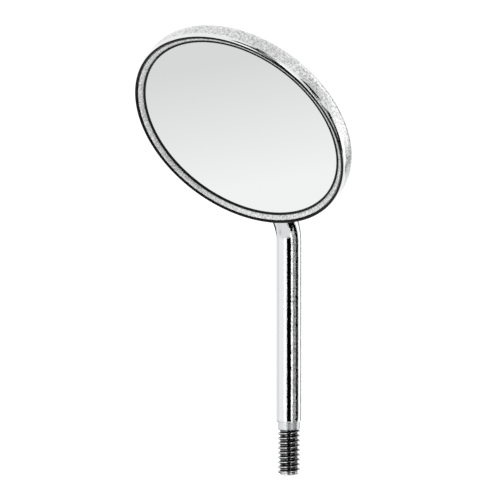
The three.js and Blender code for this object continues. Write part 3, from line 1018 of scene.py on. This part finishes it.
def thread_tree():
    """The tree that rolls a flat grid up into a threaded stud."""
    tree = bpy.data.node_groups.new("cut_thread", "GeometryNodeTree")
    face = tree.interface
    face.new_socket("Geometry", in_out="OUTPUT", socket_type="NodeSocketGeometry")
    for name in THREAD_SIZES:
        face.new_socket(name, in_out="INPUT", socket_type="NodeSocketFloat")
    for name in ("Steps", "Rows"):
        face.new_socket(name, in_out="INPUT", socket_type="NodeSocketInt")
    face.new_socket("Finish", in_out="INPUT", socket_type="NodeSocketMaterial")
    given = add(tree, "NodeGroupInput").outputs

    # a flat grid, one metre square about its middle
    columns = add(tree, MATH, {0: given["Steps"], 1: 1}, operation="ADD")
    lines = add(tree, MATH, {0: given["Rows"], 1: 1}, operation="ADD")
    grid = add(tree, "GeometryNodeMeshGrid", {
        "Size X": 1.0, "Size Y": 1.0, "Vertices X": columns, "Vertices Y": lines})
    place = add(tree, "ShaderNodeSeparateXYZ", {0: add(tree, "GeometryNodeInputPosition")})
    round_part = add(tree, MATH, {0: place.outputs["X"], 1: 0.5}, operation="ADD")
    climb_part = add(tree, MATH, {0: place.outputs["Y"], 1: 0.5}, operation="ADD")
    row = add(tree, MATH, {0: climb_part, 1: given["Rows"]}, operation="MULTIPLY")

    # every point's radius and height
    raw = helix_height(tree, given, row, round_part)
    under_top = add(tree, MATH, {0: raw, 1: given["Top"]}, operation="MINIMUM")
    height = add(tree, MATH, {0: under_top, 1: given["Bottom"]}, operation="MAXIMUM")
    threaded = thread_section(tree, given, row)
    radius = closed_ends(tree, given, limited_radius(tree, given, threaded, height), raw)

    # the grid rolled up
    angle = add(tree, MATH, {0: round_part, 1: 2 * math.pi}, operation="MULTIPLY")
    cosine = add(tree, MATH, {0: angle}, operation="COSINE")
    sine = add(tree, MATH, {0: angle}, operation="SINE")
    spot = add(tree, "ShaderNodeCombineXYZ", {
        "X": add(tree, MATH, {0: radius, 1: cosine}, operation="MULTIPLY"),
        "Y": add(tree, MATH, {0: radius, 1: sine}, operation="MULTIPLY"), "Z": height})
    rolled = add(tree, "GeometryNodeSetPosition", {"Geometry": grid, "Position": spot})
    merged = add(tree, "GeometryNodeMergeByDistance",
                 {"Geometry": rolled, "Distance": SAME_POINT})
    real = add(tree, "GeometryNodeRealizeInstances", {"Geometry": merged})
    painted = add(tree, "GeometryNodeSetMaterial",
                  {"Geometry": real, "Material": given["Finish"]})
    add(tree, "NodeGroupOutput", {0: painted})
    return tree


cut_thread = thread_tree()
print("cut_thread:", len(cut_thread.nodes), "nodes")

# %% Run the tree, and join the thread to the rod
STUD_LENGTH = 5.02 * MM
PITCH = 0.45 * MM
INTO_ROD = 0.2 * MM                  # how far the stud's top is buried in the rod
STUD_STEPS = 96                      # points in one turn


def from_nodes(name, tree, **values):
    """Runs a node tree on an empty mesh, and returns the mesh it makes."""
    carrier = bpy.data.objects.new(name, bpy.data.meshes.new(name))
    bpy.context.scene.collection.objects.link(carrier)
    modifier = carrier.modifiers.new(name, "NODES")
    modifier.node_group = tree
    sockets = {s.name: s.identifier for s in tree.interface.items_tree if s.in_out == "INPUT"}
    for key, value in values.items():
        modifier[sockets[key.replace("_", " ")]] = value
    depsgraph = bpy.context.evaluated_depsgraph_get()
    mesh = bpy.data.meshes.new_from_object(carrier.evaluated_get(depsgraph))
    carrier.modifiers.clear()
    bpy.data.objects.remove(carrier)
    return mesh


climb = (STUD_LENGTH + INTO_ROD) / PITCH
thread = from_nodes(
    "stud", cut_thread, Pitch=PITCH, Crest_Radius=1.075 * MM, Core_Radius=0.81 * MM,
    Neck_Radius=1.035 * MM, Neck_Bottom=-0.69 * MM, Tip_Radius=0.77 * MM, Tip_Chamfer=0.4 * MM,
    Bottom=-STUD_LENGTH, Top=INTO_ROD, Steps=STUD_STEPS,
    Rows=ROWS_PER_PITCH * math.ceil(climb + SPARE_PITCHES + 1),
    Finish=finishes["rod"])
print("thread:", len(thread.vertices), "points,", len(thread.polygons), "faces")

both = bmesh.new()
both.from_mesh(rod)
both.from_mesh(thread)
stem_mesh = bpy.data.meshes.new("threaded_stem")
both.to_mesh(stem_mesh)
both.free()
make_piece("threaded_stem", stem_mesh, "rod", ["stem"])

# %% [markdown]
# ## Soldered joint
#
# The tongue is silver-soldered to the back of the cup. Melted solder wets both surfaces and sets in
# a hollow curve between them, so its section is a concave fillet, drawn along a U round the tongue.
# Its width wanders a little, as the solder ran further in some places than in others.

# %% Solder fillet
FILLET_WIDTH = 0.42 * MM
FILLET_HEIGHT = 0.36 * MM
FILLET_STEPS = 8
FILLET_INSIDE = 0.12 * MM            # how far its back reaches under the tongue
SIDE_STEPS, NOSE_TURN_STEPS = 18, 40
NOSE_SHARE = 0.96                    # of the nose's length, which its flat face doesn't quite fill
END_SHARE = 6                        # the width fades over one part in six at each end
THINNEST = 0.05                      # share of the width that is left at the U's two ends
WANDERS = ((0.12, 9.1), (0.07, 23))  # how much the width strays, and how often


def fillet_path():
    """Points and outward directions of a U round the tongue, on the back of the cup."""
    half_width = stem_radius * math.sin(flat_angle)
    turn_centre = nose_start
    nose = NOSE_LENGTH * NOSE_SHARE
    run = corner_start - turn_centre
    path = []
    for i in range(SIDE_STEPS):
        path.append(((half_width, corner_start - run * i / SIDE_STEPS), (1, 0)))
    for i in range(NOSE_TURN_STEPS + 1):
        a = math.pi * i / NOSE_TURN_STEPS
        point = (half_width * math.cos(a), turn_centre - nose * math.sin(a))
        slope = Vector((math.cos(a) / half_width, -math.sin(a) / nose)).normalized()
        path.append((point, tuple(slope)))
    for i in range(SIDE_STEPS):
        path.append(((-half_width, turn_centre + run * (i + 1) / SIDE_STEPS), (-1, 0)))
    return path


def solder_fillet():
    """A concave section carried along the U, with a closed end at both sides."""
    path = fillet_path()
    base = back_height - CLEARANCE / 2
    points, faces = [], []
    for step, ((x, z), (dx, dz)) in enumerate(path):
        share = step / (len(path) - 1)
        end = max(THINNEST, min(1.0, END_SHARE * share, END_SHARE * (1 - share)) ** 0.5)
        wander = 1 + sum(much * math.sin(often * math.pi * share) for much, often in WANDERS)
        width, height = FILLET_WIDTH * wander * end, FILLET_HEIGHT * end
        for i in range(FILLET_STEPS + 1):
            t = math.pi / 2 * i / FILLET_STEPS
            out, down = width * (1 - math.sin(t)), height * (1 - math.cos(t))
            points.append((x + dx * out, base - down, z + dz * out))
        points.append((x - dx * FILLET_INSIDE, base - height, z - dz * FILLET_INSIDE))
        points.append((x - dx * FILLET_INSIDE, base, z - dz * FILLET_INSIDE))
    count = FILLET_STEPS + 3
    for i in range(len(path) - 1):
        for j in range(count):
            k = (j + 1) % count
            faces.append((i * count + j, i * count + k, (i + 1) * count + k, (i + 1) * count + j))
    faces.append(tuple(range(count)))
    faces.append(tuple(range(len(points) - count, len(points))))
    mesh = bpy.data.meshes.new("solder_fillet")
    mesh.from_pydata(points, [], faces)
    return mesh


make_piece("solder_joint", solder_fillet(), "solder", ["weld_bead"], in_head=True)

# %% [markdown]
# ## Pieces that keep their CAD shape
#
# The glass, its coating and the cement are plain discs whose CAD solids are already exact, and all
# but the coating's face is hidden. They only need their real finishes.

# %% Finishes for the CAD pieces
KEPT = {"mirror_film": "film", "mirror_glass": "glass", "bonding_cement": "cement"}
for node_name, finish_name in KEPT.items():
    node_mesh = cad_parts[node_name].data
    node_mesh.materials.clear()
    node_mesh.materials.append(finishes[finish_name])
print("kept:", KEPT)
